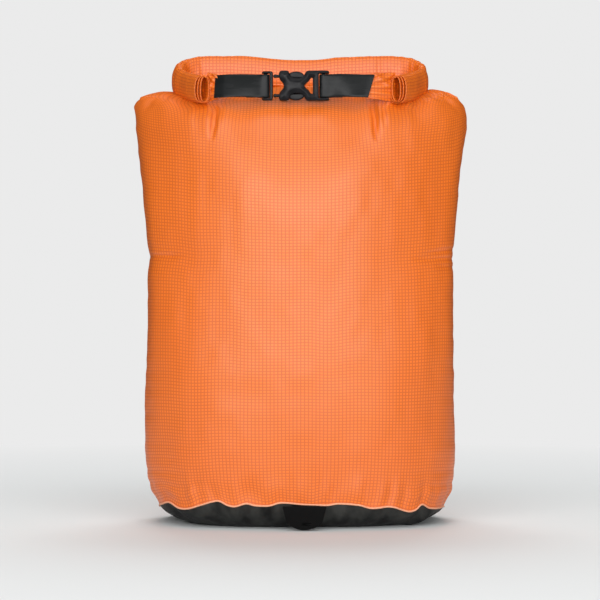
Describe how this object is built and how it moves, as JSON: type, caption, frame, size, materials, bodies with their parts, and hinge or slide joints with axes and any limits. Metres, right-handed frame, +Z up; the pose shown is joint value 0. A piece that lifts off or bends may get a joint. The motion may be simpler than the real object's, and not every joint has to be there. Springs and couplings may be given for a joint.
{
  "type": "roll-top dry bag",
  "caption": "Soft roll-top dry bag, filled and closed: oval ripstop tube on a dark base, its rolled mouth bent into a ring by a strap with a side-release buckle.",
  "frame": {"origin": "middle of the oval face that the bag rests on, at floor level", "axes": "+Z up towards the rolled mouth, -Y the front with the buckle and the lash tab, +X to the right as seen from the front"},
  "size_m": [0.304, 0.198, 0.426],
  "materials": {
    "orange_ripstop": "satin",
    "base_cloth": "matte",
    "seam_binding": "matte",
    "seam_tape": "satin",
    "stiffener": "matte",
    "strap_black": "satin",
    "buckle_black": "satin",
    "tab_black": "matte",
    "thread": "matte"
  },
  "bodies": {
    "bag": {"front_panel": "orange_ripstop", "back_panel": "orange_ripstop", "base_panel": "base_cloth", "base_seam_binding": "seam_binding", "base_seam_tape": "seam_tape", "side_seam_tape_left": "seam_tape", "side_seam_tape_right": "seam_tape", "roll_top": "orange_ripstop", "closure_stiffener": "stiffener", "strap_left": "strap_black", "strap_right": "strap_black", "strap_right_stitching": "thread", "buckle_socket": "buckle_black", "lash_tab_anchor": "tab_black", "lash_tab_bartacks": "thread"},
    "plug": {"buckle_plug": "buckle_black", "strap_left_stitching": "thread"},
    "latch_upper": {"latch_arm_upper": "buckle_black"},
    "latch_lower": {"latch_arm_lower": "buckle_black"},
    "lash_tab": {"lash_tab": "tab_black"}
  },
  "joints": [
    {"name": "buckle_release", "type": "slide", "parent": "bag", "child": "plug", "axis": [-1, 0, 0], "range_m": [0, 0.024], "deforming": ["strap_left", "latch_arm_upper", "latch_arm_lower"]},
    {"name": "latch_upper_press", "type": "hinge", "parent": "plug", "child": "latch_upper", "pos_m": [-0.0226, -0.072, 0.3992], "axis": [0, 1, 0], "range_deg": [0, 7.5], "stiffness_Nm_per_rad": 0.5},
    {"name": "latch_lower_press", "type": "hinge", "parent": "plug", "child": "latch_lower", "pos_m": [-0.0226, -0.072, 0.382], "axis": [0, -1, 0], "range_deg": [0, 7.5], "stiffness_Nm_per_rad": 0.5},
    {"name": "lash_tab_swing", "type": "hinge", "parent": "bag", "child": "lash_tab", "pos_m": [0.0034, -0.0943, 0.0202], "axis": [-1, 0, 0], "range_deg": [0, 90]}
  ],
  "couplings": [
    {"joint": "latch_lower_press", "follows": "latch_upper_press", "ratio": 1}
  ]
}
